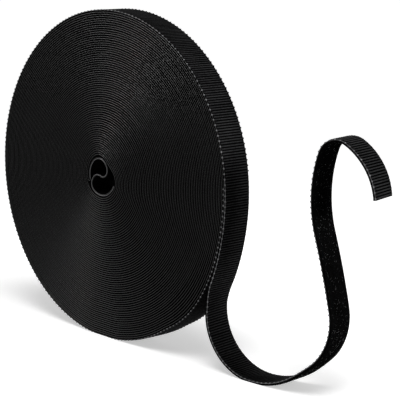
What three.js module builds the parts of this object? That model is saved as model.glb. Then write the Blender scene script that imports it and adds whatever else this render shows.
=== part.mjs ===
// Hook and loop tape roll. A back-to-back tape is wound on itself without a core, hooks outwards. Its free
// end is drawn off the roll, touches the floor, rises and curls over; its inner end lies in an S in the bore.
// The wound pieces are profiles in the X-Z plane, extruded across the width of the tape. The pieces of the free
// end are swept, as it also swings to the back.
//
// Frame: X towards the free end, Y along the roll's axis to the back, Z up. The origin is the middle of the
// flat foot that the roll stands on.
import * as THREE from "three";

// Tape, in millimetres
const TAPE_WIDTH = 20;
const HOOK_WEB = 0.38; // base cloth that carries the hooks
const LOOP_WEB = 0.38; // base cloth with its brushed loops
const BOND_FILM = 0.3; // glue line between the two cloths
const MESH_GAP = 0.3; // where the hooks of one turn sit in the loops of the next
const HOOK_ROW_PITCH = 1.6; // rows of hooks across the tape
const HOOK_HEIGHT = 0.35;

// Roll, in millimetres and degrees
const ROLL_RADIUS = 104.8; // hook face of the outermost turn, where the tape leaves the roll
const FOOT_DEPTH = 0.5; // how far the turns are pressed flat where the roll stands
const PEEL_ANGLE = 8; // where the tape leaves the roll, from the X axis
const SEAM = 0.4; // room between the ends of two stretches of tape
const OUTER_TURNS = 13; // turns wound one by one outside the packed ones
const CORE_TURNS = 2; // turns wound one by one inside the packed ones

// Bore and inner end, in millimetres and degrees
const BORE_X = -4.5; // the bore is a little off the roll's centre
const BORE_Z = 0.4;
const STRAND_RADIUS = 11.6; // inner end where it follows the bore's wall
const FOLD_ANGLE = 198; // where the inner end folds back into the first turn
const FOLD_RADIUS = 0.8;
const DENT_DEPTH = 0.353 * STRAND_RADIUS; // the innermost turns are pressed in at the upper right
const DENT_ANGLE = 44;
const DENT_HALF_WIDTH = 75;

// Stretches of the inner end, from the fold back to its cut end. Left turns are positive.
const INNER_BENDS = [
  { length: 1.138 * STRAND_RADIUS, turn: -65 }, // along the wall
  { length: 1.422 * STRAND_RADIUS, turn: -118.5 }, // over the top
  { length: 0.862 * STRAND_RADIUS, turn: -127 }, // shoulder
  { length: 0.927 * STRAND_RADIUS, turn: 100 }, // across the bore
  { length: 0.526 * STRAND_RADIUS, turn: 67.5 }, // back to the wall
  { length: 1.914 * STRAND_RADIUS, turn: 101.5 }, // along the bottom
];

// Stretches of the free end, from the peel line to its cut end. Each one turns up or down and ends at an angle
// to the roll in plan. The first one is as long as it has to be for the tape to reach the floor.
const RELEASE_TURN = -13.8;
const DROP_BENDS = [
  { length: 0.368 * ROLL_RADIUS, turn: -16.6, plan: 0 }, // loose beside the roll
  { length: 0.134 * ROLL_RADIUS, turn: 17.2, plan: 8 }, // swings clear of it
  { length: 0.553 * ROLL_RADIUS, turn: 94.2, plan: 4 }, // down to the floor
];
const RISE_BENDS = [
  { length: 0.326 * ROLL_RADIUS, turn: 37, plan: 4 }, // heel
  { length: 0.134 * ROLL_RADIUS, turn: 6.6, plan: 8 },
  { length: 0.344 * ROLL_RADIUS, turn: 59.8, plan: 9 }, // turns upright
  { length: 0.407 * ROLL_RADIUS, turn: 5.3, plan: 9 },
  { length: 0.462 * ROLL_RADIUS, turn: -35.1, plan: 9 }, // shoulder
  { length: 0.193 * ROLL_RADIUS, turn: -102, plan: 10 }, // crown
];
const TIP_BENDS = [{ length: 0.341 * ROLL_RADIUS, turn: -54, plan: 12 }];

// Facets
const ROLL_STEPS = 32; // per turn; one of them makes the foot
const CORE_STEPS = 40; // per turn
const FOLD_STEPS = 6;
const INNER_STEP = 1.8;
const TAIL_STEP = 3;
const ROUNDING = 1e-6;

// Worked out from the driving dimensions
const PITCH = HOOK_WEB + BOND_FILM + LOOP_WEB + MESH_GAP;
const BOND_FACE = BOND_FILM / 2;
const HOOK_FACE = BOND_FACE + HOOK_WEB;
const LOOP_FACE = BOND_FACE + LOOP_WEB;
const DOWN = -90;
const FOOT_TURN = (DOWN + 360 - PEEL_ANGLE) / 360; // turns back from the peel line to the foot
const ROLL_CENTRE = new THREE.Vector2(0, ROLL_RADIUS - PITCH * FOOT_TURN - FOOT_DEPTH);
const BORE_CENTRE = ROLL_CENTRE.clone().add(new THREE.Vector2(BORE_X, BORE_Z));

const radians = THREE.MathUtils.degToRad;

function polar(centre, radius, angle) {
  const a = radians(angle);
  return new THREE.Vector2(centre.x + radius * Math.cos(a), centre.y + radius * Math.sin(a));
}

// Signed angle from one direction to another, between -180 and 180
function angleFrom(reference, angle) {
  return THREE.MathUtils.euclideanModulo(angle - reference + 180, 360) - 180;
}

// Steps along a bend: their number, the turn that each one makes and the length of its chord
function stepsOf({ length, turn }, step) {
  const count = Math.max(2, Math.ceil(length / step));
  const share = turn / count;
  const half = radians(share / 2);
  const chord = (length / count) * (Math.abs(half) > ROUNDING ? Math.sin(half) / half : 1);
  return { count, share, chord };
}

// Points along a chain of arcs from a start point and heading
function followBends(start, heading, bends, step) {
  const points = [start.clone()];
  const at = start.clone();
  let direction = heading;
  for (const bend of bends) {
    const { count, share, chord } = stepsOf(bend, step);
    for (let i = 0; i < count; i++) {
      at.copy(polar(at, chord, direction + share / 2));
      points.push(at.clone());
      direction += share;
    }
  }
  return points;
}

// The line beside another one, to its left, with the corners mitred. The distance may change along it.
function offsetLine(points, distance) {
  const normals = points.slice(1).map((point, i) => {
    const along = point.clone().sub(points[i]).normalize();
    return new THREE.Vector2(-along.y, along.x);
  });
  return points.map((point, i) => {
    const before = normals[Math.max(i - 1, 0)];
    const after = normals[Math.min(i, normals.length - 1)];
    const mitre = before.clone().add(after).divideScalar(1 + before.dot(after));
    const reach = typeof distance === "function" ? distance(i) : distance;
    return point.clone().addScaledVector(mitre, reach);
  });
}

// Turns back from the peel line, from the first to the last, in the tape's own direction. The steps are set
// so that one of them lies level below the roll's centre.
function rollStations(first, last) {
  const step = 1 / ROLL_STEPS;
  const stations = [first];
  const footEnd = FOOT_TURN + step / 2;
  const top = Math.ceil((first - footEnd) / step);
  const bottom = Math.floor((last - footEnd) / step);
  for (let i = top; i >= bottom; i--) {
    const turn = footEnd + i * step;
    if (turn < first - step / 3 && turn > last + step / 3) stations.push(turn);
  }
  stations.push(last);
  return stations;
}

// Middle of the glue line on the roll, flattened at the foot
function rollPoint(turn) {
  const angle = PEEL_ANGLE + 360 * turn;
  const radius = ROLL_RADIUS - HOOK_FACE - PITCH * turn;
  const aside = angleFrom(DOWN, angle);
  const footReach = 180 / ROLL_STEPS + ROUNDING;
  if (Math.abs(aside) > footReach) return polar(ROLL_CENTRE, radius, angle);
  const lowest = radius + (PITCH * aside) / 360 - FOOT_DEPTH;
  return polar(ROLL_CENTRE, lowest / Math.cos(radians(aside)), angle);
}

// Middle of the glue line on the innermost turns, counted outwards from the fold
function corePoint(turn) {
  const angle = FOLD_ANGLE - 360 * turn;
  const aside = Math.min(Math.abs(angleFrom(DENT_ANGLE, angle)) / DENT_HALF_WIDTH, 1);
  const dent = DENT_DEPTH * Math.cos((aside * Math.PI) / 2) ** 2;
  return polar(BORE_CENTRE, STRAND_RADIUS + 2 * FOLD_RADIUS + PITCH * turn - dent, angle);
}

function coreTurns(first, last) {
  const count = Math.round((last - first) * CORE_STEPS);
  return Array.from({ length: count + 1 }, (_, i) => corePoint(first + ((last - first) * i) / count));
}

// Inner end: the S, the fold at the wall and the first turns
function innerEndLine() {
  const foldStart = polar(BORE_CENTRE, STRAND_RADIUS, FOLD_ANGLE);
  const foldCentre = polar(BORE_CENTRE, STRAND_RADIUS + FOLD_RADIUS, FOLD_ANGLE);
  const s = followBends(foldStart, FOLD_ANGLE - 90, INNER_BENDS, INNER_STEP).reverse();
  const fold = [];
  for (let i = 1; i < FOLD_STEPS; i++) {
    fold.push(polar(foldCentre, FOLD_RADIUS, FOLD_ANGLE + 180 - (180 * i) / FOLD_STEPS));
  }
  const outerRadius = STRAND_RADIUS + 2 * FOLD_RADIUS + PITCH * CORE_TURNS;
  const seamTurn = SEAM / (2 * Math.PI * outerRadius);
  return [...s, ...fold, ...coreTurns(0, CORE_TURNS - seamTurn)];
}

// Stations along the free end: the middle of the glue line, the direction across the tape, which stays level,
// and the direction of the hook face, drawn out at the corners so that the cloths keep their thickness
function followFreeEnd(start, heading, bends) {
  const stations = [{ at: new THREE.Vector3(start.x, 0, start.y), plan: 0, length: 0 }];
  const faces = [];
  let slope = heading;
  for (const bend of bends) {
    const { count, share, chord } = stepsOf(bend, TAIL_STEP);
    const swing = (bend.plan - stations.at(-1).plan) / count;
    for (let i = 0; i < count; i++) {
      const before = stations.at(-1);
      const rise = radians(slope + share / 2);
      const aside = radians(before.plan + swing / 2);
      const level = new THREE.Vector3(Math.cos(aside), Math.sin(aside), 0);
      const along = new THREE.Vector3(0, 0, Math.sin(rise)).addScaledVector(level, Math.cos(rise));
      const at = before.at.clone().addScaledVector(along, chord);
      stations.push({ at, plan: before.plan + swing, length: before.length + chord });
      faces.push(new THREE.Vector3(0, 0, Math.cos(rise)).addScaledVector(level, -Math.sin(rise)));
      slope += share;
    }
  }
  return stations.map(({ at, plan, length }, i) => {
    const before = faces[Math.max(i - 1, 0)];
    const after = faces[Math.min(i, faces.length - 1)];
    const out = before.clone().add(after).divideScalar(1 + before.dot(after));
    const across = new THREE.Vector3(-Math.sin(radians(plan)), Math.cos(radians(plan)), 0);
    return { at, across, out, length };
  });
}

// Station at a length along the free end, between two of those it is made of
function stationAt(stations, length) {
  const i = Math.min(stations.filter((station) => station.length <= length).length, stations.length - 1);
  const [before, after] = [stations[i - 1], stations[i]];
  const share = (length - before.length) / (after.length - before.length);
  const between = (key) => before[key].clone().lerp(after[key], share);
  return { at: between("at"), across: between("across"), out: between("out"), length };
}

// The free end between two lengths along it, with its corners, or with stations at the given marks
function stretch(stations, from, to, marks) {
  const lengths = marks ?? stations.map(({ length }) => length);
  const inside = lengths.filter((length) => length > from + SEAM && length < to - SEAM);
  return [from, ...inside, to].map((length) => stationAt(stations, length));
}

// Free end: from the peel line to the floor, up and over
function freeEndStations() {
  const start = rollPoint(0);
  const heading = PEEL_ANGLE - 90;
  const below = [...DROP_BENDS, ...RISE_BENDS, ...TIP_BENDS];
  const rest = followFreeEnd(new THREE.Vector2(), heading + RELEASE_TURN, below);
  const restLow = Math.min(...rest.map(({ at, out }) => at.z - LOOP_FACE * out.z));
  const half = radians(RELEASE_TURN / 2);
  const fall = -Math.sin(radians(heading + RELEASE_TURN / 2)) * (Math.sin(half) / half);
  const release = { length: (start.y + restLow) / fall, turn: RELEASE_TURN, plan: 0 };
  const stations = followFreeEnd(start, heading, [release, ...below]);
  const stepped = (bends) => bends.reduce((sum, bend) => sum + stepsOf(bend, TAIL_STEP).count, 0);
  const floorStep = stepped([release, ...DROP_BENDS]);
  const floorAt = stations[floorStep].length;
  const tipAt = stations[floorStep + stepped(RISE_BENDS)].length;
  return { stations, floorAt, tipAt };
}

// Extrudes a closed profile across the tape's width
function acrossTape(outline, hole) {
  const shape = new THREE.Shape(outline);
  if (hole) shape.holes.push(new THREE.Path(hole));
  const geometry = new THREE.ExtrudeGeometry(shape, { depth: TAPE_WIDTH, bevelEnabled: false, steps: 1 });
  geometry.rotateX(Math.PI / 2);
  geometry.translate(0, TAPE_WIDTH / 2, 0);
  return geometry;
}

// One cloth of the tape along a line, between two distances to its left
function cloth(line, right, left) {
  return acrossTape([...offsetLine(line, left), ...offsetLine(line, right).reverse()]);
}

// One cloth of the free end, swept between two distances towards the hook face. The outer one may change.
function sweptCloth(stations, inner, outer) {
  const half = TAPE_WIDTH / 2;
  const corners = [];
  stations.forEach(({ at, across, out }, i) => {
    const far = typeof outer === "function" ? outer(i) : outer;
    const front = at.clone().addScaledVector(across, -half);
    const back = at.clone().addScaledVector(across, half);
    corners.push(front.clone().addScaledVector(out, inner), back.clone().addScaledVector(out, inner));
    corners.push(back.addScaledVector(out, far), front.addScaledVector(out, far));
  });
  const faces = [];
  const quad = (a, b, c, d) => faces.push(a, b, c, a, c, d);
  quad(0, 3, 2, 1);
  for (let ring = 0; ring < corners.length - 4; ring += 4) {
    for (let side = 0; side < 4; side++) {
      const next = (side + 1) % 4;
      quad(ring + side, ring + next, ring + 4 + next, ring + 4 + side);
    }
  }
  const end = corners.length - 4;
  quad(end, end + 1, end + 2, end + 3);
  const geometry = new THREE.BufferGeometry().setFromPoints(corners);
  geometry.setIndex(faces);
  const faceted = geometry.toNonIndexed();
  faceted.computeVertexNormals();
  return faceted;
}

// Hook cloth of the free end with its rows of hooks standing out of it
function hookedCloth(stations, from, to) {
  const valleyEnd = 0.45 * HOOK_ROW_PITCH;
  const crestStart = 0.55 * HOOK_ROW_PITCH;
  const crestEnd = 0.9 * HOOK_ROW_PITCH;
  const marks = [];
  const rows = Math.floor((to - from - 2 * SEAM) / HOOK_ROW_PITCH);
  for (let row = 0; row < rows; row++) {
    const at = from + SEAM + row * HOOK_ROW_PITCH;
    marks.push(at + valleyEnd, at + crestStart, at + crestEnd, at + HOOK_ROW_PITCH - ROUNDING);
  }
  const isCrest = (i) => i % 4 === 2 || i % 4 === 3;
  const top = (i) => (isCrest(i) && i <= marks.length ? HOOK_FACE + HOOK_HEIGHT : HOOK_FACE);
  return sweptCloth(stretch(stations, from, to, marks), BOND_FACE, top);
}

// Least distance between parts of a cloth's edge that are further than a few millimetres apart along it
function leastGap(line, right, left) {
  const nearBy = 3;
  const lengths = [0];
  line.slice(1).forEach((point, i) => lengths.push(lengths[i] + point.distanceTo(line[i])));
  const edges = [offsetLine(line, right), offsetLine(line, left)];
  const closest = new THREE.Vector3();
  const flat = (point) => new THREE.Vector3(point.x, point.y, 0);
  let least = Infinity;
  for (const a of edges) {
    for (const b of edges) {
      const runs = b.slice(1).map((point, j) => new THREE.Line3(flat(b[j]), flat(point)));
      a.forEach((point, i) => {
        runs.forEach((run, j) => {
          const along = Math.min(Math.abs(lengths[i] - lengths[j]), Math.abs(lengths[i] - lengths[j + 1]));
          if (along < nearBy) return;
          run.closestPointToPoint(flat(point), true, closest);
          least = Math.min(least, closest.distanceTo(flat(point)));
        });
      });
    }
  }
  return least;
}

const HOOK_FINISH = { color: 0x161617, roughness: 0.7, metalness: 0 };
const LOOP_FINISH = { color: 0x0c0c0d, roughness: 0.95, metalness: 0 };
const EDGE_FINISH = { color: 0x1c1c1d, roughness: 0.85, metalness: 0 };

const roll = new THREE.Group();

function addPiece(name, geometry, finish) {
  const mesh = new THREE.Mesh(geometry, new THREE.MeshStandardMaterial(finish));
  mesh.name = name;
  roll.add(mesh);
}

// Outer turns, wound one by one
const seamTurn = SEAM / (2 * Math.PI * ROLL_RADIUS);
const outerLine = rollStations(OUTER_TURNS - seamTurn, 0).map(rollPoint);
addPiece("hook_winding", cloth(outerLine, BOND_FACE, HOOK_FACE), HOOK_FINISH);
addPiece("loop_winding", cloth(outerLine, -LOOP_FACE, -BOND_FACE), LOOP_FINISH);

// Packed turns between the outer and the inner ones, with a step where the tape runs into them on each side
const packedOutside = offsetLine(rollStations(OUTER_TURNS + 1, OUTER_TURNS).map(rollPoint), HOOK_FACE);
const packedInside = offsetLine(coreTurns(CORE_TURNS - 1, CORE_TURNS), HOOK_FACE + MESH_GAP);
addPiece("packed_turns", acrossTape(packedOutside, packedInside.reverse()), EDGE_FINISH);

// Inner end in the bore
const innerLine = innerEndLine();
addPiece("core_hook_end", cloth(innerLine, BOND_FACE, HOOK_FACE), HOOK_FINISH);
addPiece("core_loop_end", cloth(innerLine, -LOOP_FACE, -BOND_FACE), LOOP_FINISH);

// Free end, parted where it bends when it is pulled
const { stations, floorAt, tipAt } = freeEndStations();
const stretches = [
  { name: "tail_drop", from: SEAM, to: floorAt - SEAM / 2 },
  { name: "tail_rise", from: floorAt + SEAM / 2, to: tipAt - SEAM / 2 },
  { name: "tail_tip", from: tipAt + SEAM / 2, to: stations.at(-1).length },
];
for (const { name, from, to } of stretches) {
  addPiece(`${name}_hook`, hookedCloth(stations, from, to), HOOK_FINISH);
  addPiece(`${name}_loop`, sweptCloth(stretch(stations, from, to), -LOOP_FACE, -BOND_FACE), LOOP_FINISH);
}

const wound = [
  ["hook_winding", outerLine, BOND_FACE, HOOK_FACE],
  ["loop_winding", outerLine, -LOOP_FACE, -BOND_FACE],
  ["core_hook_end", innerLine, BOND_FACE, HOOK_FACE],
  ["core_loop_end", innerLine, -LOOP_FACE, -BOND_FACE],
];
for (const [name, line, right, left] of wound) {
  console.log(`${name}: least gap to itself ${leastGap(line, right, left).toFixed(2)} mm`);
}

export default roll;
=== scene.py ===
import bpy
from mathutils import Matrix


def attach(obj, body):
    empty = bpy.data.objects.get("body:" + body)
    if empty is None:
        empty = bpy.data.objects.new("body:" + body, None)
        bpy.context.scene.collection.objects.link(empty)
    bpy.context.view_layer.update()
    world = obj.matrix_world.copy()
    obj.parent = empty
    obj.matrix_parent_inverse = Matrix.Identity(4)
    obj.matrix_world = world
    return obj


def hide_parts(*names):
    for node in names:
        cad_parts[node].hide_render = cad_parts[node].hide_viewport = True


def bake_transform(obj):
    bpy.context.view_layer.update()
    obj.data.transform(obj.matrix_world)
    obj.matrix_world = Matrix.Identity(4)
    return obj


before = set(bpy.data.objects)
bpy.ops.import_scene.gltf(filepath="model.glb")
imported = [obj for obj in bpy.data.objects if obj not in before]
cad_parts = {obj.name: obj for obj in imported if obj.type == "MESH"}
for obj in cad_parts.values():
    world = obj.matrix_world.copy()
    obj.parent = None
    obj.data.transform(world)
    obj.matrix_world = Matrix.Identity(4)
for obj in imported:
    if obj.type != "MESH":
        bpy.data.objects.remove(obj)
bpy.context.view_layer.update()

import copy
import math

import bpy
import numpy as np
from mathutils import Matrix

# Sizes of the tape, in millimetres
MM_PER_M = 1000
TAPE_WIDTH = 20.0
EDGE = TAPE_WIDTH / 2
SLIT_ZONE = 0.45
HOOK_WEB = 0.38
LOOP_WEB = 0.38
BOND_FILM = 0.3
MESH_GAP = 0.3
PITCH = HOOK_WEB + BOND_FILM + LOOP_WEB + MESH_GAP
HOOK_FACE = BOND_FILM / 2 + HOOK_WEB
LOOP_FACE = BOND_FILM / 2 + LOOP_WEB
FLOOR_CLEARANCE = 0.02
LINE_STEP = 0.5
SAME_PLACE = 1e-6
CHORD_ERROR = 0.035

# Sizes of the roll, in millimetres, degrees and turns
ROLL_RADIUS = 104.8
PEEL_ANGLE = 8.0
OUTER_TURNS = 13.0
CORE_TURNS = 2.0
WHOLE_TURNS = 66
FOOT_DIRECTION = -90.0
FOOT_DEPTH = 0.5
FOOT_HALF_ANGLE = 20.0
FOOT_FADE_TURNS = 20.0
FOOT_TURN = (360 + FOOT_DIRECTION - PEEL_ANGLE) / 360
STRAND_RADIUS = 11.6
FOLD_ANGLE = 198.0
FOLD_RADIUS = 0.8
FOLD_STEPS = 12
INNER_WIDENING = 0.37
BORE_OFFSET = np.array([-4.5, 0.4])
ROLL_CENTRE = np.array([0.0, ROLL_RADIUS - PITCH * FOOT_TURN - FOOT_DEPTH])
BORE_CENTRE = ROLL_CENTRE + BORE_OFFSET
CORE_RADIUS = STRAND_RADIUS + 2 * FOLD_RADIUS
ALL_TURNS = WHOLE_TURNS + (FOLD_ANGLE - PEEL_ANGLE) / 360
CORE_START = ALL_TURNS - CORE_TURNS

# The dent of the inner turns, and the slack of the outer ones from one share of a turn to another
DENT_DEPTH = 0.353 * STRAND_RADIUS
DENT_ANGLE = 44.0
DENT_HALF_WIDTH = 75.0
DENT_FADE_TURNS = 30.0
SLACK_FROM = 0.82
SLACK_TO = 0.97
SLACK_LEAN = 0.6
SLACK_DEPTH = 2.2
SLACK_TURNS = 9.0

# Unevenness of the winding, as (depth in millimetres, waves a turn, start in radians)
RADIUS_WAVES = [(0.025, 0.37, 1.0), (0.02, 1.61, 0.0)]
SIDE_WAVES = [(0.045, 0.618, 0.4), (0.03, 0.271, 0.0)]
RADIUS_FADE_TURNS = 3.0
SIDE_FADE_TURNS = 2.0

# Bends along the tape, as (length, turn, plan angle at the bend's end)
INNER_BENDS = [
    (1.138 * STRAND_RADIUS, -65, 0),
    (1.422 * STRAND_RADIUS, -118.5, 0),
    (0.862 * STRAND_RADIUS, -127, 0),
    (0.927 * STRAND_RADIUS, 100, 0),
    (0.526 * STRAND_RADIUS, 67.5, 0),
    (1.914 * STRAND_RADIUS, 101.5, 0),
]
RELEASE_TURN = -13.8
TAIL_BENDS = [
    (0.368 * ROLL_RADIUS, -16.6, 0),
    (0.134 * ROLL_RADIUS, 17.2, 8),
    (0.553 * ROLL_RADIUS, 94.2, 4),
    (0.326 * ROLL_RADIUS, 37, 4),
    (0.134 * ROLL_RADIUS, 6.6, 8),
    (0.344 * ROLL_RADIUS, 59.8, 9),
    (0.407 * ROLL_RADIUS, 5.3, 9),
    (0.462 * ROLL_RADIUS, -35.1, 9),
    (0.193 * ROLL_RADIUS, -102, 10),
    (0.341 * ROLL_RADIUS, -54, 12),
]
TOP_END = 70.0
LOW_END = 262.0

# Rows of hooks, in millimetres, radians and shares; a spread is a standard deviation
ROW_PITCH = 1.6
ROW_SPREAD = 0.04
ROW_HEIGHT_SPREAD = 0.08
ROW_SUNK = 0.03
PLAIN_END = 1.8
PEEL_MARGIN = 3.0
HOOKS_PER_ROW = 24
HOOK_REACH = 8.7
HOOK_HEIGHT = 0.4
HOOK_SPREAD_ACROSS = 0.08
HOOK_SPREAD_ALONG = 0.1
HOOK_HEIGHT_SPREAD = 0.1
HOOK_TURN_SPREAD = 0.5
LEAST_HOOK = 0.02
CROWN_FROM = 120.0
CROWN_BLEND = 60.0
CROWN_WEAR = 0.75
WEFT_SUNK = 0.08
WEFT_OUT = 0.02
ROWS_PER_WEFT_TURN = 2
FREE_BACK_WEFT = 0.4

# Brushed loops, in millimetres and in shares of the drawn loop or pile
PILE_STRIP = TAPE_WIDTH - 0.8
PILE_MARGIN = 0.3
PILE_END_MARGIN = 0.2
PILE_FOLD_MARGIN = 1.0
LOOPS_PER_MM2 = 2.0
LOOP_HEIGHTS = (0.35, 0.84)
LOOP_SIZES = (0.7, 1.6)
LOOP_YARN_RADIUS = 0.032
# Painted glints: the share of loops in a light colour, and how much larger they are.
PAINTED_GLINT_SHARE = 0.06
PAINTED_GLINT_SIZE = 1.25
LOOP_ROOT = 0.9
PRESSED_PILE = 0.27
PILE_SPRING = 0.4
SPRING_FROM = 12.0
SPRING_LENGTH = 45.0

# Nylon: weaves in millimetres, noise in waves a metre, relief in metres, the rest as shares
HOOK_WEAVE = (0.8, 0.5)
LOOP_WEAVE = (0.6, 0.6)
GRAIN_SCALE = 900
BLOTCH_SCALE = 60
GRAIN_SHARE = 0.65
DYE_RANGE = (0.36, 0.66)
BLUE_CAST = 1.03
ROUGHNESS_SPREAD = 0.12
THREAD_SHARE = 0.5
RELIEF_DEPTH = 0.0001

# Stage and camera, in metres and degrees, with the lens and its sensor in millimetres
FLOOR_SIZE = 8
FLOOR_GREY = 0.8
# The floor's glow is dimmer near the part: painted shade, which fades out over the glow's reach.
FLOOR_SQUEEZE = (0.35, 1, 0)
GLOW_REACH = (0.03, 0.14)
GLOW_LEVELS = (0.5, 0.9)
DOME_HEIGHTS = (0.05, 0.55)
DOME_LEVELS = (0.4, 0.12)
MIRRORED_SHARE = 0.25
CAMERA_PLACE = (0.69445, -0.61747, 0.26951)
CAMERA_AZIMUTH = -44.8635
CAMERA_ELEVATION = 11.0069
CAMERA_ROLL = 1.6424
CAMERA_LENS = 134.1
CAMERA_SENSOR = 36
CAMERA_REACH = 50

SEED = 7
rng = np.random.default_rng(SEED)


def smooth_step(x):
    x = np.clip(x, 0, 1)
    return x * x * (3 - 2 * x)


def between(ends, count):
    """Random values, spread evenly from one end to the other."""
    return ends[0] + (ends[1] - ends[0]) * rng.random(count)


def unit(vectors):
    return vectors / np.linalg.norm(vectors, axis=-1)[..., None]


def waves(turn, terms):
    """A sum of waves, from their (depth, waves a turn, start)."""
    return sum(depth * np.sin(2 * np.pi * rate * turn + start) for depth, rate, start in terms)


def degrees_from(middle, angle):
    """How far an angle lies from a middle one, from -180 to 180."""
    return (angle - middle + 180) % 360 - 180


def polar(centre, radius, angle):
    """Points of the wound tape's plane at a radius and an angle from a centre."""
    a = np.radians(angle)
    return np.stack([centre[..., 0] + radius * np.cos(a), centre[..., 1] + radius * np.sin(a)], -1)


def upright(points):
    """Points of the wound tape's plane, placed in the middle of its width."""
    return np.stack([points[:, 0], np.zeros(len(points)), points[:, 1]], 1)


def above_floor(verts):
    return np.concatenate([verts[:, :2], np.maximum(verts[:, 2:], FLOOR_CLEARANCE)], 1)


def chord_share(turn):
    """The chord of a bend as a share of its length."""
    return np.sinc(turn / 360)


def follow(start, heading, bends):
    """Points along a chain of bends that may swing in plan, and the plan angles there."""
    points = [np.array([start[0], 0.0, start[1]])]
    plans = [0.0]
    for length, turn, plan_end in bends:
        count = max(2, math.ceil(length / LINE_STEP))
        chord = length / count * chord_share(turn / count)
        swing = (plan_end - plans[-1]) / count
        for _ in range(count):
            rise = math.radians(heading + turn / count / 2)
            plan = math.radians(plans[-1] + swing / 2)
            level = math.cos(rise) * np.array([math.cos(plan), math.sin(plan), 0])
            points.append(points[-1] + chord * (level + [0, 0, math.sin(rise)]))
            plans.append(plans[-1] + swing)
            heading += turn / count
    return np.array(points), np.array(plans)


class Line:
    """A run of tape: its middle, the directions along it, across it and out to its hook side, and the
    length up to each point."""

    def __init__(self, points, plans=0.0):
        self.middle = np.asarray(points, float)
        plans = np.radians(np.broadcast_to(plans, len(self.middle)))
        self.across = np.stack([-np.sin(plans), np.cos(plans), np.zeros(len(plans))], 1)
        along = np.gradient(self.middle, axis=0)
        along -= np.sum(along * self.across, 1)[:, None] * self.across
        self.along = unit(along)
        self.out = np.cross(self.along, self.across)
        steps = np.linalg.norm(np.diff(self.middle, axis=0), axis=1)
        self.length = np.concatenate([[0], np.cumsum(steps)])

    def at(self, length):
        """The middle and the three directions at some lengths."""
        middle, along, across = (
            np.stack([np.interp(length, self.length, values[:, k]) for k in range(3)], -1)
            for values in (self.middle, self.along, self.across)
        )
        along = unit(along)
        return middle, along, across, np.cross(along, across)

    def part(self, start, end):
        """The stretch from one length to another."""
        inside = (self.length > start + SAME_PLACE) & (self.length < end - SAME_PLACE)
        piece = copy.copy(self)
        piece.length = np.concatenate([[start], self.length[inside], [end]])
        piece.middle, piece.along, piece.across, piece.out = self.at(piece.length)
        return piece


# Wound tape, as turns back from the line where it leaves the roll
def even_radius(turn, share):
    """The radius of a smooth spiral whose middle turns share out the room between outer and inner ones."""
    outer = ROLL_RADIUS - HOOK_FACE - PITCH * turn
    inner = CORE_RADIUS + PITCH * (ALL_TURNS - turn)
    first = ROLL_RADIUS - HOOK_FACE - PITCH * OUTER_TURNS
    last = CORE_RADIUS + PITCH * CORE_TURNS
    return np.where(share <= 0, outer, np.where(share >= 1, inner, first + (last - first) * share))


def dent_at(turn, angle):
    """How deep the inner turns are dented at their upper right."""
    side = np.clip(np.abs(degrees_from(DENT_ANGLE, angle)) / DENT_HALF_WIDTH, 0, 1)
    fade = smooth_step((turn - (CORE_START - DENT_FADE_TURNS)) / DENT_FADE_TURNS)
    return DENT_DEPTH * np.cos(side * np.pi / 2) ** 2 * fade


def wander_at(turn):
    """How far a turn wanders out from an even spiral."""
    start = smooth_step(turn / RADIUS_FADE_TURNS)
    end = smooth_step((CORE_START - turn) / RADIUS_FADE_TURNS)
    return start * end * waves(turn, RADIUS_WAVES)


def slack_at(turn):
    """How far the loose outer turns stand out at the lower right."""
    place = np.clip((turn % 1 - SLACK_FROM) / (SLACK_TO - SLACK_FROM), 0, 1)
    fade = np.clip(1 - np.floor(turn) / SLACK_TURNS, 0, 1)
    return SLACK_DEPTH * np.sin(np.pi * place ** SLACK_LEAN) ** 2 * fade


def pressed_radius(radius, turn, angle):
    """The radius with the turns pressed flat where the roll stands."""
    side = degrees_from(FOOT_DIRECTION, angle)
    depth = FOOT_DEPTH * (1 - smooth_step((turn - OUTER_TURNS) / FOOT_FADE_TURNS))
    level = radius + PITCH * side / 360 - depth
    flat = level / np.cos(np.radians(np.clip(side, -FOOT_HALF_ANGLE, FOOT_HALF_ANGLE)))
    return np.where((np.abs(side) < FOOT_HALF_ANGLE) & (flat < radius), flat, radius)


def wound_point(turn):
    """The middle of the wound tape, in its plane."""
    turn = np.asarray(turn, float)
    angle = PEEL_ANGLE + 360 * turn
    share = np.clip((turn - OUTER_TURNS) / (CORE_START - OUTER_TURNS), 0, 1)
    centre = ROLL_CENTRE + share[..., None] * (BORE_CENTRE - ROLL_CENTRE)
    radius = even_radius(turn, share) - dent_at(turn, angle) + wander_at(turn) + slack_at(turn)
    return polar(centre, pressed_radius(radius, turn, angle), angle)


def wound_turns(first, last):
    """Stations from one turn in to another, closer together where the turns are small."""
    stations = [first]
    while stations[-1] > last:
        radius = max(ROLL_RADIUS - PITCH * stations[-1], CORE_RADIUS)
        stations.append(stations[-1] - math.sqrt(2 * CHORD_ERROR / radius) / math.pi)
    stations[-1] = last
    return np.array(stations)


# Mesh helpers, and the material slots of a strip
pieces = []
NO_TRIS = np.zeros((0, 3), int)
WEB, BACK_EDGE, FRONT_EDGE, INNER_FRONT_EDGE = range(4)


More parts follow.
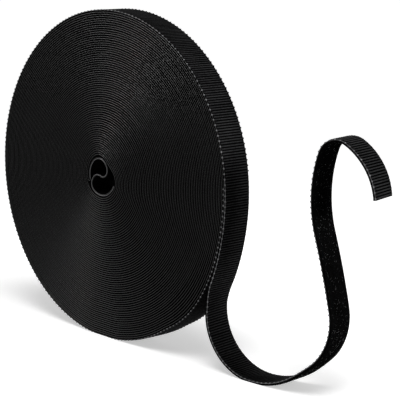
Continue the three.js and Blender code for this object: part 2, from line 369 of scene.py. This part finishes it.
def make_piece(name, verts, quads, tris, materials, slots=None, coords=None):
    """A smooth mesh piece from points in millimetres; coords are along and across the tape."""
    mesh = bpy.data.meshes.new(name)
    mesh.vertices.add(len(verts))
    mesh.vertices.foreach_set("co", (np.asarray(verts) / MM_PER_M).astype(np.float32).ravel())
    loops = np.concatenate([np.ravel(quads), np.ravel(tris)]).astype(np.int32)
    sizes = np.concatenate([np.full(len(quads), 4), np.full(len(tris), 3)]).astype(np.int32)
    starts = np.concatenate([[0], np.cumsum(sizes)[:-1]]).astype(np.int32)
    mesh.loops.add(len(loops))
    mesh.loops.foreach_set("vertex_index", loops)
    mesh.polygons.add(len(sizes))
    mesh.polygons.foreach_set("loop_start", starts)
    mesh.polygons.foreach_set("use_smooth", np.ones(len(sizes), bool))
    for material in materials:
        mesh.materials.append(material)
    if slots is not None:
        mesh.polygons.foreach_set("material_index", np.asarray(slots, np.int32))
    mesh.update(calc_edges=True)
    if coords is not None:
        layer = mesh.uv_layers.new(name="tape")
        layer.data.foreach_set("uv", np.asarray(coords, np.float32)[loops].ravel())
    mesh.validate()
    obj = bpy.data.objects.new(name, mesh)
    bpy.context.scene.collection.objects.link(obj)
    pieces.append(obj)
    return obj


def grid_quads(rows, columns, closed=True):
    """Faces between the rows of a grid of points, whose rows may close on themselves."""
    i = np.arange(rows - 1)[:, None] * columns
    j = np.arange(columns if closed else columns - 1)[None, :]
    k = (j + 1) % columns
    return np.stack([i + j, i + k, i + columns + k, i + columns + j], -1).reshape(-1, 4)


def section_of(points):
    """A section that is the same at both edges, from its points at the back edge. They are listed towards
    the hook side, as (distance to the hook side, place across the tape)."""
    return np.array(points + [(out, -across) for out, across in reversed(points)], float)


def sweep(line, section, shift=0.0, pile=None, inner=0, widen=0.0):
    """A closed strip along a line. A pile stretches what lies under the loop face. The first stations, of
    the inner end, may be wider and have a front edge of their own."""
    out, across = section.T
    corners = len(section)
    stations = len(line.middle)
    depth = np.broadcast_to(out, (stations, corners))
    if pile is not None:
        depth = np.maximum(depth, -LOOP_FACE) + np.minimum(depth + LOOP_FACE, 0) * pile[:, None]
    place = across + np.broadcast_to(shift, stations)[:, None]
    place = place + np.sign(across) * widen * (np.arange(stations) < inner)[:, None]
    verts = line.middle[:, None] + line.out[:, None] * depth[..., None]
    verts = (verts + line.across[:, None] * place[..., None]).reshape(-1, 3)
    if pile is not None:
        verts = above_floor(verts)
    a = np.arange(corners // 2 - 1)
    cap = np.stack([a, corners - 1 - a, corners - 2 - a, a + 1], -1)
    end_cap = cap[:, ::-1] + (stations - 1) * corners
    quads = np.concatenate([grid_quads(stations, corners), cap, end_cap])
    coords = np.stack([np.repeat(line.length, corners), np.tile(across, stations)], -1)
    slit = np.minimum(np.abs(across), np.abs(np.roll(across, -1))) > EDGE - SLIT_ZONE
    slots = np.where(slit, np.where(across < 0, FRONT_EDGE, BACK_EDGE), WEB)
    slots = np.tile(slots, (stations - 1, 1))
    # The inner end's front edge has a slot of its own, for its lighter colour: painted light.
    slots[:inner][slots[:inner] == FRONT_EDGE] = INNER_FRONT_EDGE
    slots = np.concatenate([slots.ravel(), np.full(2 * len(cap), WEB)])
    return verts, quads, coords, slots


def strip(name, line, section, materials, **shape):
    verts, quads, coords, slots = sweep(line, section, **shape)
    slots = slots if len(materials) > 1 else None
    return make_piece(name, verts, quads, NO_TRIS, materials, slots, coords)


def tube(path, radii, sides=3):
    """A closed thin tube along a few points, for a hook or a loop of yarn."""
    path = np.array(path, float)
    along = unit(np.gradient(path, axis=0))
    side = unit(np.cross(along, [0.0, 1.0, 0.0]))
    up = np.cross(side, along)
    turn = 2 * np.pi * np.arange(sides) / sides
    ring = np.cos(turn)[None, :, None] * side[:, None] + np.sin(turn)[None, :, None] * up[:, None]
    verts = (path[:, None] + ring * np.array(radii)[:, None, None]).reshape(-1, 3)
    quads = grid_quads(len(path), sides)[:, [0, 3, 2, 1]]
    end = (len(path) - 1) * sides
    tris = [[0, j, j + 1] for j in range(1, sides - 1)]
    tris += [[end, end + j + 1, end + j] for j in range(1, sides - 1)]
    return verts, quads, np.array(tris)


def pebble(length, width, height, sides=8, rings=4):
    """A small rounded bump of these half sizes, for the weft's turn at the edge of the hook cloth."""
    around = np.tile(2 * np.pi * np.arange(sides) / sides, rings - 1)
    down = np.repeat(np.pi * np.arange(1, rings) / rings, sides)
    round_part = [-np.cos(down), np.sin(down) * np.cos(around), np.sin(down) * np.sin(around)]
    verts = np.concatenate([[[-1, 0, 0]], np.stack(round_part, 1), [[1, 0, 0]]]) * [length, width, height]
    last = len(verts) - 1
    quads = grid_quads(rings - 1, sides) + 1
    tris = [[0, 1 + (j + 1) % sides, 1 + j] for j in range(sides)]
    tris += [[last, last - sides + j, last - sides + (j + 1) % sides] for j in range(sides)]
    return verts, quads[:, ::-1], np.array(tris)[:, ::-1]


def spread(template, base, axes, turn=0.0, size=1.0, height=1.0):
    """Copies of a template on a tape: its x runs along the tape, y across it and z away from it."""
    verts, quads, tris = template
    count = len(base)
    turn, size, height = (np.broadcast_to(value, count)[:, None] for value in (turn, size, height))
    x = size * (verts[None, :, 0] * np.cos(turn) - verts[None, :, 1] * np.sin(turn))
    y = size * (verts[None, :, 0] * np.sin(turn) + verts[None, :, 1] * np.cos(turn))
    z = height * verts[None, :, 2]
    placed = base[:, None]
    for reach, axis in zip((x, y, z), axes):
        placed = placed + reach[..., None] * axis[:, None]
    offset = (np.arange(count) * len(verts))[:, None, None]
    quads = (quads[None] + offset).reshape(-1, 4)
    tris = (tris[None] + offset).reshape(-1, 3)
    return placed.reshape(-1, 3), quads, tris


def joined(parts):
    verts, quads, tris = [], [], []
    start = 0
    for part_verts, part_quads, part_tris in parts:
        verts.append(part_verts)
        quads.append(part_quads + start)
        tris.append(part_tris + start)
        start += len(part_verts)
    return np.concatenate(verts), np.concatenate(quads), np.concatenate(tris)


# Materials
class Nodes:
    """The nodes of a material or a world, made afresh."""

    def __init__(self, owner):
        owner.use_nodes = True
        self.tree = owner.node_tree
        self.tree.nodes.clear()

    def add(self, kind, **settings):
        node = self.tree.nodes.new(kind)
        for key, value in settings.items():
            setattr(node, key, value)
        return node

    def feed(self, socket, value):
        """Give a socket a value, or link it to an output."""
        if isinstance(value, bpy.types.NodeSocket):
            self.tree.links.new(value, socket)
        else:
            socket.default_value = value

    def math(self, operation, *values):
        node = self.add("ShaderNodeMath", operation=operation)
        for socket, value in zip(node.inputs, values):
            self.feed(socket, value)
        return node.outputs[0]

    def noise(self, place, scale, detail):
        node = self.add("ShaderNodeTexNoise")
        for name, value in (("Vector", place), ("Scale", scale), ("Detail", detail)):
            self.feed(node.inputs[name], value)
        return node.outputs["Fac"]

    def map_range(self, value, start, end, **settings):
        node = self.add("ShaderNodeMapRange", **settings)
        names = ("Value", "From Min", "From Max", "To Min", "To Max")
        for name, number in zip(names, (value, *start, *end)):
            self.feed(node.inputs[name], number)
        return node.outputs["Result"]


def nylon(name, dark, light, roughness, specular, bump, weave=None):
    """Black nylon cloth: uneven dye, fine grain, and a weave of threads so far apart along and across."""
    material = bpy.data.materials.new(name)
    nodes = Nodes(material)
    place = nodes.add("ShaderNodeTexCoord").outputs["Object"]
    grain = nodes.noise(place, GRAIN_SCALE, detail=3)
    blotches = nodes.noise(place, BLOTCH_SCALE, detail=4)
    fine = nodes.math("MULTIPLY", grain, GRAIN_SHARE)
    broad = nodes.math("MULTIPLY", blotches, 1 - GRAIN_SHARE)
    dye = nodes.add("ShaderNodeValToRGB")
    for element, position, grey in zip(dye.color_ramp.elements, DYE_RANGE, (dark, light)):
        element.position = position
        element.color = (grey, grey, BLUE_CAST * grey, 1)
    nodes.feed(dye.inputs["Fac"], nodes.math("ADD", fine, broad))
    height = grain
    if weave:
        tape = nodes.add("ShaderNodeSeparateXYZ")
        nodes.feed(tape.inputs["Vector"], nodes.add("ShaderNodeUVMap", uv_map="tape").outputs["UV"])
        weft, warp = (
            nodes.math("SINE", nodes.math("MULTIPLY", tape.outputs[axis], 2 * math.pi / spacing))
            for axis, spacing in zip("XY", weave)
        )
        threads = nodes.math("MULTIPLY", nodes.math("MULTIPLY", warp, weft), THREAD_SHARE)
        height = nodes.math("ADD", height, threads)
    relief = nodes.add("ShaderNodeBump")
    for socket, value in (("Strength", bump), ("Distance", RELIEF_DEPTH), ("Height", height)):
        nodes.feed(relief.inputs[socket], value)
    gloss = (roughness - ROUGHNESS_SPREAD, roughness + ROUGHNESS_SPREAD)
    shader = nodes.add("ShaderNodeBsdfPrincipled")
    nodes.feed(shader.inputs["Base Color"], dye.outputs["Color"])
    nodes.feed(shader.inputs["Roughness"], nodes.map_range(grain, (0, 1), gloss))
    nodes.feed(shader.inputs["Specular IOR Level"], specular)
    nodes.feed(shader.inputs["Normal"], relief.outputs["Normal"])
    nodes.feed(nodes.add("ShaderNodeOutputMaterial").inputs["Surface"], shader.outputs["BSDF"])
    return material


hook_web = nylon(
    "hook_web", dark=0.001, light=0.003, roughness=0.7, specular=0.0, bump=0.5, weave=HOOK_WEAVE
)
hook_rows = nylon("hook_rows", dark=0.0115, light=0.034, roughness=0.5, specular=0.02, bump=0.4)
slit_edge = nylon("slit_edge", dark=0.002, light=0.004, roughness=0.38, specular=0.25, bump=0.2)
# The inner end's front edge: a lighter copy of the slit edge, painted light for the light that edge
# catches.
painted_lit_inner_edge = nylon("painted_lit_inner_edge", dark=0.042, light=0.095, roughness=0.45, specular=0.2, bump=0.2)
# The free end's front edge: a lighter copy of the slit edge, painted light for the light that edge catches.
painted_lit_free_edge = nylon("painted_lit_free_edge", dark=0.04, light=0.1, roughness=0.5, specular=0.2, bump=0.2)
# The weft's turns on the front edge: a light colour, a painted highlight.
painted_lit_edge_turns = nylon("painted_lit_edge_turns", dark=0.085, light=0.215, roughness=0.5, specular=0.2, bump=0.2)
loop_web = nylon(
    "loop_web", dark=0.0008, light=0.003, roughness=0.8, specular=0.0, bump=0.6, weave=LOOP_WEAVE
)
loop_yarn = nylon("loop_yarn", dark=0.001, light=0.006, roughness=0.5, specular=0.02, bump=0.2)
# A few loops take this light colour: painted glints.
loop_painted_glint = nylon("loop_painted_glint", dark=0.08, light=0.4, roughness=0.5, specular=0.02, bump=0.2)
glue = nylon("glue_line", dark=0.0015, light=0.003, roughness=0.6, specular=0.0, bump=0.3)


# Lines of the tape: inner end, wound turns, free end
fold_start = polar(BORE_CENTRE, STRAND_RADIUS, FOLD_ANGLE)
fold_centre = polar(BORE_CENTRE, STRAND_RADIUS + FOLD_RADIUS, FOLD_ANGLE)
inner_end = follow(fold_start, FOLD_ANGLE - 90, INNER_BENDS)[0][::-1]
fold_turn = FOLD_ANGLE + 180 - 180 * np.arange(1, FOLD_STEPS) / FOLD_STEPS
fold = upright(polar(fold_centre, FOLD_RADIUS, fold_turn))
stations = wound_turns(ALL_TURNS, 0.0)
roll_line = Line(np.concatenate([inner_end, fold, upright(wound_point(stations))]))

peel_point = wound_point(0.0)
heading = PEEL_ANGLE - 90
below = Line(*follow((0, 0), heading + RELEASE_TURN, TAIL_BENDS))
lowest = (below.middle - LOOP_FACE * below.out)[:, 2].min()
fall = -math.sin(math.radians(heading + RELEASE_TURN / 2)) * chord_share(RELEASE_TURN)
release = ((peel_point[1] + lowest) / fall, RELEASE_TURN, 0)
tail_line = Line(*follow(peel_point, heading, [release] + TAIL_BENDS))
tail_length = tail_line.length[-1]

# Sections of the two cloths and the glue line. The hook cloth's slit edge stands out.
hook_section = section_of(
    [
        (0.1, EDGE - 0.5),
        (0.1, EDGE - 0.14),
        (0.14, EDGE - 0.05),
        (0.22, EDGE),
        (0.41, EDGE),
        (0.49, EDGE - 0.05),
        (HOOK_FACE, EDGE - 0.14),
        (HOOK_FACE, EDGE - 0.5),
    ]
)
loop_section = section_of(
    [
        (-1.15, EDGE - 2.2),
        (-1.1, EDGE - 1.5),
        (-0.8, EDGE - 1.0),
        (-0.72, EDGE - 0.7),
        (-LOOP_FACE, EDGE - 0.55),
        (-0.45, EDGE - 0.42),
        (-0.18, EDGE - 0.42),
        (-0.1, EDGE - 0.5),
    ]
)
free_loop_section = section_of(
    [
        (-LOOP_FACE - 1.0, EDGE - 0.5),
        (-LOOP_FACE - 0.85, EDGE - 0.22),
        (-LOOP_FACE - 0.5, EDGE - 0.08),
        (-LOOP_FACE, EDGE - 0.05),
        (-0.2, EDGE - 0.05),
        (-0.1, EDGE - 0.15),
    ]
)
glue_section = section_of([(-0.11, EDGE - 0.4), (0.11, EDGE - 0.4)])

# Wound cloths. Each turn stands a little further forward or back than its neighbours.
turn_of = np.concatenate([np.full(len(inner_end) + len(fold), ALL_TURNS), stations])
shift = waves(turn_of, SIDE_WAVES) * smooth_step(turn_of / SIDE_FADE_TURNS)
wound = {"shift": shift, "inner": len(inner_end)}
# The inner end's front edge takes a lighter colour: painted light.
hook_looks = [hook_web, slit_edge, slit_edge, painted_lit_inner_edge]
loop_looks = [loop_web, loop_web, loop_web, slit_edge]
wound_hook = strip("wound_hook_cloth", roll_line, hook_section, hook_looks, **wound)
wound_loop = strip("wound_loop_cloth", roll_line, loop_section, loop_looks, widen=INNER_WIDENING, **wound)
wound_glue = strip("wound_glue_line", roll_line, glue_section, [glue], shift=shift)

# Rows of hooks: a ridge across the tape, the hooks on it, and the weft's turns at its ends
ridge_profile = [(-0.36, 0.0), (-0.3, 0.18), (-0.13, 0.3), (0.13, 0.3), (0.3, 0.18), (0.36, 0.0)]
ridge_ends = [(-9.2, 0.0), (-9.1, 0.75), (-8.8, 1.0), (8.8, 1.0), (9.1, 0.75), (9.2, 0.0)]
ridge_verts = np.array([[x, y, z * share - ROW_SUNK] for y, share in ridge_ends for x, z in ridge_profile])
ridge = ridge_verts, grid_quads(len(ridge_ends), len(ridge_profile), closed=False), NO_TRIS
hook_path = [(-0.04, 0, 0.1), (-0.05, 0, 0.28), (0.04, 0, HOOK_HEIGHT), (0.17, 0, 0.34)]
hook = tube(hook_path, radii=[0.11, 0.085, 0.08, 0.05])
weft_turn = pebble(length=0.58, width=0.5, height=0.42)


def hook_piece(name, line, first, last, height_at=None, back_weft=1.0):
    """Rows of hooks on a stretch of a line; height_at tells how high they stand at each place."""
    rows = np.arange(math.ceil(first / ROW_PITCH), math.ceil(last / ROW_PITCH))
    length = (rows + 0.5) * ROW_PITCH + ROW_SPREAD * rng.standard_normal(len(rows))
    middle, *axes = line.at(length)
    base = middle + axes[2] * HOOK_FACE
    high = np.ones(len(rows)) if height_at is None else height_at(base)
    tall = high * (1 + ROW_HEIGHT_SPREAD * rng.standard_normal(len(rows)))
    parts = [spread(ridge, base, axes, height=tall)]

    count = len(rows) * HOOKS_PER_ROW
    place = np.tile(np.linspace(-HOOK_REACH, HOOK_REACH, HOOKS_PER_ROW), len(rows))
    place = place + HOOK_SPREAD_ACROSS * rng.standard_normal(count)
    length = np.repeat(length, HOOKS_PER_ROW) + HOOK_SPREAD_ALONG * rng.standard_normal(count)
    middle, *axes = line.at(length)
    base = middle + axes[2] * HOOK_FACE + axes[1] * place[:, None]
    tall = np.repeat(high, HOOKS_PER_ROW) * (1 + HOOK_HEIGHT_SPREAD * rng.standard_normal(count))
    turn = np.where(rng.random(count) < 0.5, 0, np.pi)
    turn = turn + HOOK_TURN_SPREAD * rng.standard_normal(count)
    parts.append(spread(hook, base, axes, turn=turn, height=tall))

    turned = rows[rows % ROWS_PER_WEFT_TURN == 0]
    middle, *axes = line.at((turned + 0.5) * ROW_PITCH)
    for side, size in ((1, back_weft), (-1, 1.0)):
        base = middle + axes[2] * (HOOK_FACE - WEFT_SUNK) + axes[1] * side * (EDGE + WEFT_OUT)
        parts.append(spread(weft_turn, base, axes, size=size, height=size))

    verts, quads, tris = joined(parts)
    # The weft's turns on the front edge take a light colour, a painted highlight; those on the back edge
    # take the rows' colour.
    painted_highlight_parts = [False, False, False, True]
    slots = [np.repeat(painted_highlight_parts, [len(part[k]) for part in parts]) for k in (1, 2)]
    return make_piece(name, above_floor(verts), quads, tris, [hook_rows, painted_lit_edge_turns], np.concatenate(slots))


def rim_height(places):
    """Hooks are pressed flat where the roll stands, and are worn low on its crown."""
    level = places[:, 2]
    worn = 1 - CROWN_WEAR * smooth_step((level - CROWN_FROM) / CROWN_BLEND)
    return worn * np.clip((level - FLOOR_CLEARANCE) / HOOK_HEIGHT, LEAST_HOOK, 1)


last_turn = Line(upright(wound_point(wound_turns(1.0, 0.0))))
last_turn.length = last_turn.length - last_turn.length[-1]
rim_start = last_turn.length[0]
rim_half = rim_start / 2
rim_hooks = hook_piece("rim_hook_rows", last_turn, rim_half, 0.0, rim_height)
under_hooks = hook_piece("under_hook_rows", last_turn, rim_start + PEEL_MARGIN, rim_half, rim_height)

# Brushed loops
loop_path = [(-0.22, 0, 0.0), (-0.2, 0.03, 0.26), (0.02, 0.07, 0.4), (0.2, 0.05, 0.24), (0.2, 0, 0.0)]
loop = tube(loop_path, radii=[LOOP_YARN_RADIUS] * len(loop_path))


def pile_piece(name, line, first, last, depth_at=None):
    """Loops of yarn standing on the loop cloth; depth_at tells how far its pile has sprung up."""
    count = int((last - first) * PILE_STRIP * LOOPS_PER_MM2)
    length = between((first, last), count)
    place = between((-PILE_STRIP / 2, PILE_STRIP / 2), count)
    middle, along, across, out = line.at(length)
    root = LOOP_FACE if depth_at is None else LOOP_FACE + LOOP_ROOT * depth_at(length)[:, None]
    base = middle - out * root + across * place[:, None]
    height = between(LOOP_HEIGHTS, count)
    turn = between((0, 2 * np.pi), count)
    # Some loops are larger and take a light colour: painted glints.
    painted_glints = rng.random(count) < PAINTED_GLINT_SHARE
    size = between(LOOP_SIZES, count) * np.where(painted_glints, PAINTED_GLINT_SIZE, 1)
    verts, quads, tris = spread(loop, base, (along, across, -out), turn=turn, size=size, height=height)
    slots = np.concatenate([np.repeat(painted_glints, len(faces)) for faces in loop[1:]])
    looks = [loop_yarn, loop_painted_glint]
    return make_piece(name, above_floor(verts), quads[:, ::-1], tris[:, ::-1], looks, slots)


def pile_depth(length):
    """The pile springs up where the tape has left the roll."""
    return PRESSED_PILE + PILE_SPRING * smooth_step((length - SPRING_FROM) / SPRING_LENGTH)


inner_length = roll_line.length[len(inner_end) - 1]
core_pile = pile_piece("inner_end_pile", roll_line, PILE_MARGIN, inner_length - PILE_FOLD_MARGIN)


# Free end, in three stretches split where the solids have their hinges
def free_stretch(name, first, last, moved):
    """The tape from one length to another, which meets its neighbour near a hinge between two bodies."""
    line = tail_line.part(first, last)
    rows_end = min(last, tail_length - PLAIN_END)
    pile_ends = (first + PILE_MARGIN, last - PILE_END_MARGIN)
    # The front edge takes a lighter colour than the back edge: painted light.
    web = strip(f"{name}_hook_cloth", line, hook_section, [hook_web, slit_edge, painted_lit_free_edge])
    rows = hook_piece(f"{name}_hook_rows", tail_line, first, rows_end, back_weft=FREE_BACK_WEFT)
    backing = strip(f"{name}_loop_cloth", line, free_loop_section, [loop_web], pile=pile_depth(line.length))
    film = strip(f"{name}_glue_line", line, glue_section, [glue])
    pile = pile_piece(f"{name}_loop_pile", tail_line, *pile_ends, pile_depth)

    # Bake each piece's place into its mesh, and hide the solids of the stretch that moves
    for piece in (web, rows, backing, film, pile):
        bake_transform(piece)
    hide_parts(f"{moved}_hook")
    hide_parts(f"{moved}_loop")


free_stretch("tail_top", 0.0, TOP_END, "tail_drop")
free_stretch("tail_low", TOP_END, LOW_END, "tail_rise")
free_stretch("tail_end", LOW_END, tail_length, "tail_tip")

# Roll
for piece in (wound_hook, wound_loop, wound_glue, rim_hooks, under_hooks, core_pile):
    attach(piece, "roll")
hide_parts("hook_winding", "core_hook_end", "packed_turns")
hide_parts("loop_winding", "core_loop_end")


# Floor, world, lamps and camera
def seen_directly(nodes):
    """One for what the camera sees, and a share of it for what a glossy face mirrors."""
    path = nodes.add("ShaderNodeLightPath").outputs
    mirrored = nodes.math("MULTIPLY", path["Is Glossy Ray"], MIRRORED_SHARE)
    direct = nodes.math("MAXIMUM", path["Is Camera Ray"], path["Is Transmission Ray"])
    return nodes.math("MAXIMUM", direct, mirrored)


def floor_with_painted_shade():
    """Pale matte floor that glows white where it is seen; its glow is dimmer near the part, painted shade
    there, beside the real shadow from its lamp.
    """
    paint = bpy.data.materials.new("floor_with_painted_shade")
    nodes = Nodes(paint)
    matte = nodes.add("ShaderNodeBsdfDiffuse")
    nodes.feed(matte.inputs["Color"], (FLOOR_GREY, FLOOR_GREY, FLOOR_GREY, 1))
    flat = nodes.add("ShaderNodeVectorMath", operation="MULTIPLY")
    nodes.feed(flat.inputs[0], nodes.add("ShaderNodeNewGeometry").outputs["Position"])
    nodes.feed(flat.inputs[1], FLOOR_SQUEEZE)
    far = nodes.add("ShaderNodeVectorMath", operation="LENGTH")
    nodes.feed(far.inputs[0], flat.outputs["Vector"])
    glow_with_painted_shade = nodes.map_range(far.outputs["Value"], GLOW_REACH, GLOW_LEVELS, interpolation_type="SMOOTHSTEP")
    glow = nodes.add("ShaderNodeEmission")
    nodes.feed(glow.inputs["Color"], (1, 1, 1, 1))
    nodes.feed(glow.inputs["Strength"], nodes.math("MULTIPLY", seen_directly(nodes), glow_with_painted_shade))
    both = nodes.add("ShaderNodeAddShader")
    nodes.feed(both.inputs[0], matte.outputs[0])
    nodes.feed(both.inputs[1], glow.outputs[0])
    nodes.feed(nodes.add("ShaderNodeOutputMaterial").inputs["Surface"], both.outputs[0])
    return paint


def studio_world():
    """White where it is seen, and for its light a dome that is brighter low down."""
    world = bpy.data.worlds.new("studio")
    nodes = Nodes(world)
    way = nodes.add("ShaderNodeSeparateXYZ")
    nodes.feed(way.inputs["Vector"], nodes.add("ShaderNodeTexCoord").outputs["Generated"])
    dome = nodes.map_range(way.outputs["Z"], DOME_HEIGHTS, DOME_LEVELS, interpolation_type="SMOOTHSTEP")
    air = nodes.add("ShaderNodeBackground")
    nodes.feed(air.inputs["Color"], (1, 1, 1, 1))
    nodes.feed(air.inputs["Strength"], nodes.math("MAXIMUM", dome, seen_directly(nodes)))
    nodes.feed(nodes.add("ShaderNodeOutputWorld").inputs["Surface"], air.outputs[0])
    return world


def facing(place, away, roll=0.0):
    """The pose of a lamp or camera that looks against a direction, turned about it by a roll in degrees."""
    away = unit(np.array(away, float))
    level = unit(np.cross([0, 0, 1], away))
    tilt = math.radians(roll)
    side = math.cos(tilt) * level + math.sin(tilt) * np.cross(away, level)
    columns = (side, np.cross(away, side), away, place)
    return Matrix([[column[i] for column in columns] for i in range(3)] + [[0, 0, 0, 1]])


def lamp(name, place, target, size, power, lit, beam=180):
    """A soft lamp that lights only the objects listed, in a beam of so many degrees."""
    data = bpy.data.lights.new(name, "AREA")
    data.shape = "RECTANGLE"
    data.size, data.size_y = size
    data.energy = power
    data.spread = math.radians(beam)
    obj = bpy.data.objects.new(name, data)
    bpy.context.scene.collection.objects.link(obj)
    obj.matrix_world = facing(place, np.array(place) - np.array(target))
    receivers = bpy.data.collections.new(f"lit_by_{name}")
    for receiver in lit:
        receivers.objects.link(receiver)
    obj.light_linking.receiver_collection = receivers


bpy.ops.mesh.primitive_plane_add(size=FLOOR_SIZE, location=(0, 0, 0))
floor = bpy.context.object
floor.name = "floor"
floor.data.materials.append(floor_with_painted_shade())
bpy.context.scene.world = studio_world()

lamp("key_lamp", (-0.84, -1.06, 0.45), (0, 0, 0.1), size=(0.22, 0.22), power=20, lit=pieces)
lamp("side_lamp", (1.195, 0.19, 0.505), (0.1, 0, 0.1), size=(0.4, 0.25), power=14, lit=pieces)
lamp("top_lamp", (0.456, -0.4, 1.16), (0.05, 0.02, 0), size=(0.8, 0.8), power=1.4, lit=[floor], beam=45)

azimuth, elevation = np.radians((CAMERA_AZIMUTH, CAMERA_ELEVATION))
level_share = np.cos(elevation)
camera_away = (level_share * np.cos(azimuth), level_share * np.sin(azimuth), np.sin(elevation))
camera_data = bpy.data.cameras.new("camera")
camera_data.sensor_width = CAMERA_SENSOR
camera_data.lens = CAMERA_LENS
camera_data.clip_end = CAMERA_REACH
camera = bpy.data.objects.new("camera", camera_data)
bpy.context.scene.collection.objects.link(camera)
camera.matrix_world = facing(CAMERA_PLACE, camera_away, CAMERA_ROLL)
bpy.context.scene.camera = camera
bpy.context.scene.view_settings.view_transform = "Standard"
